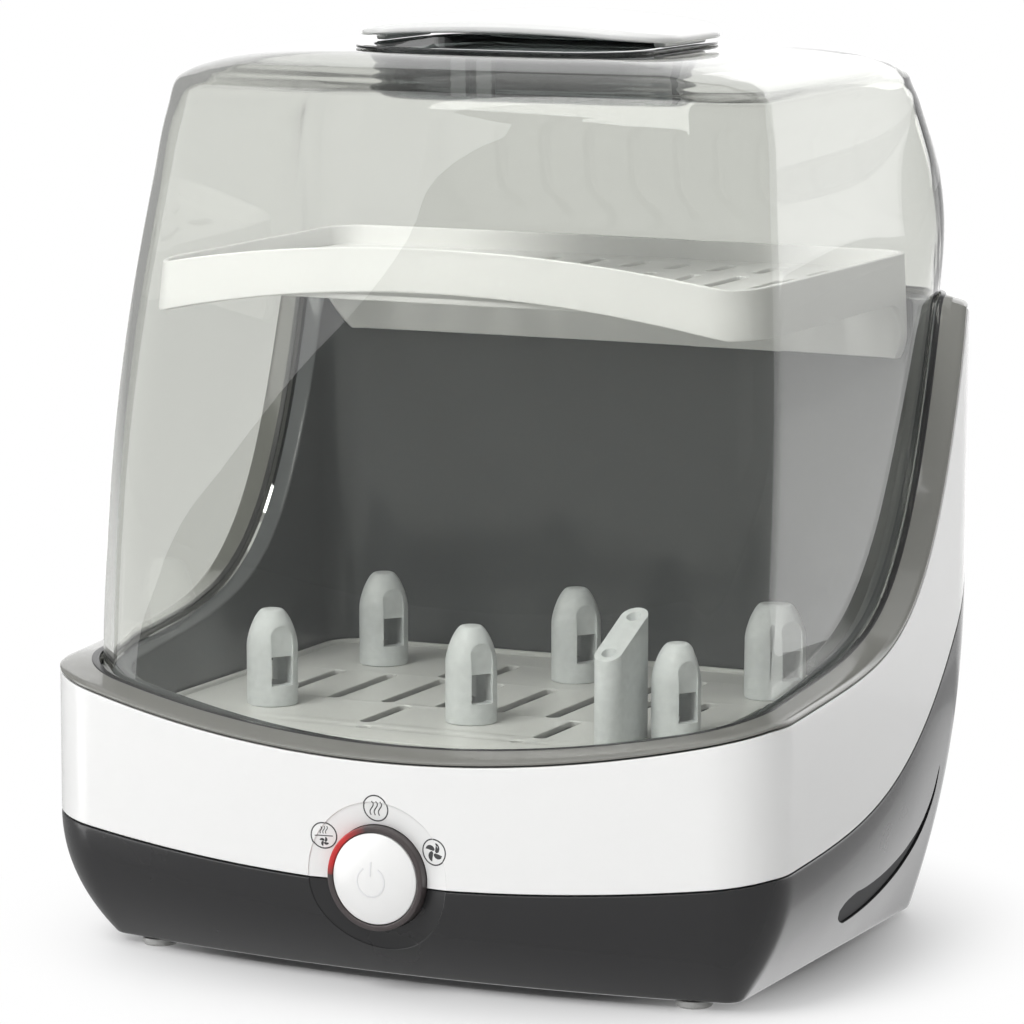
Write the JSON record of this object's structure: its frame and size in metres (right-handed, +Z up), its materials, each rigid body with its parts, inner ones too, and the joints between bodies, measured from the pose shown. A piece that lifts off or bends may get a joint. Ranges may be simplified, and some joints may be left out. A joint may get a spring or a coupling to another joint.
{
  "type": "bottle sterilizer",
  "caption": "Steam bottle sterilizer and dryer: rounded white and charcoal base with a front button, clear lift-off dome lid, white upper tray and a rack with bottle posts.",
  "frame": {"origin": "centre of the footprint, on the surface that the feet stand on", "axes": "+Z up, the front with its button towards -Y, +X to the right seen from the front"},
  "size_m": [0.281, 0.2306, 0.3306],
  "materials": {
    "white_plastic": "satin gloss",
    "charcoal_plastic": "gloss",
    "inner_charcoal": "gloss",
    "grey_trim": "satin",
    "clear_lid": "clear, polished",
    "smoke_dish": "tinted, polished",
    "tray_plastic": "satin",
    "frosted_post": "frosted",
    "steel_plate": "brushed",
    "aluminium_part": "satin",
    "brass_part": "satin",
    "board": "matte",
    "soft_rubber": "matte",
    "black_rubber": "matte",
    "filter_media": "matte",
    "ring_lens": "frosted, lit red on its upper left",
    "fan_plastic": "matte"
  },
  "bodies": {
    "base": {"bottom_pan": "charcoal_plastic", "lower_housing": "charcoal_plastic", "body_shell": "white_plastic", "rim_trim": "grey_trim", "chamber_liner": "inner_charcoal", "heating_plate": "steel_plate", "plate_gasket": "soft_rubber", "heating_element": "steel_plate", "thermostat": "aluminium_part", "blower_housing": "fan_plastic", "fan_motor": "aluminium_part", "air_heater": "aluminium_part", "outlet_grille": "inner_charcoal", "control_board": "board", "button_carrier": "inner_charcoal", "light_ring": "ring_lens", "power_board": "board", "board_standoffs": "brass_part", "filter_frame": "charcoal_plastic", "cord_gland": "black_rubber", "rubber_feet": "soft_rubber", "housing_screws": "steel_plate"},
    "impeller": {"fan_impeller": "fan_plastic"},
    "button": {"power_button": "white_plastic"},
    "filter": {"filter_cover": "charcoal_plastic", "air_filter": "filter_media"},
    "lid": {"lid_shell": "clear_lid", "finger_dish": "smoke_dish", "handle_plate": "white_plastic", "handle_clips": "inner_charcoal"},
    "tray": {"upper_tray": "tray_plastic"},
    "rack": {"bottle_rack": "tray_plastic", "bottle_posts": "frosted_post", "accessory_post": "frosted_post"}
  },
  "joints": [
    {"name": "lid_lift", "type": "slide", "parent": "base", "child": "lid", "axis": [0, 0, 1], "range_m": [0, 0.185]},
    {"name": "tray_lift", "type": "slide", "parent": "base", "child": "tray", "axis": [0, 0, 1], "range_m": [0, 0.01]},
    {"name": "rack_lift", "type": "slide", "parent": "base", "child": "rack", "axis": [0, 0, 1], "range_m": [0, 0.045]},
    {"name": "fan_spin", "type": "hinge", "parent": "base", "child": "impeller", "pos_m": [0.056, 0.0303, 0.025], "axis": [0, 0, 1], "continuous": true},
    {"name": "button_press", "type": "slide", "parent": "base", "child": "button", "axis": [0, 1, 0], "range_m": [0, 0.0016], "stiffness_N_per_m": 600, "springref_m": -0.002},
    {"name": "filter_pull", "type": "slide", "parent": "base", "child": "filter", "axis": [0, 1, 0], "range_m": [0, 0.03]}
  ]
}
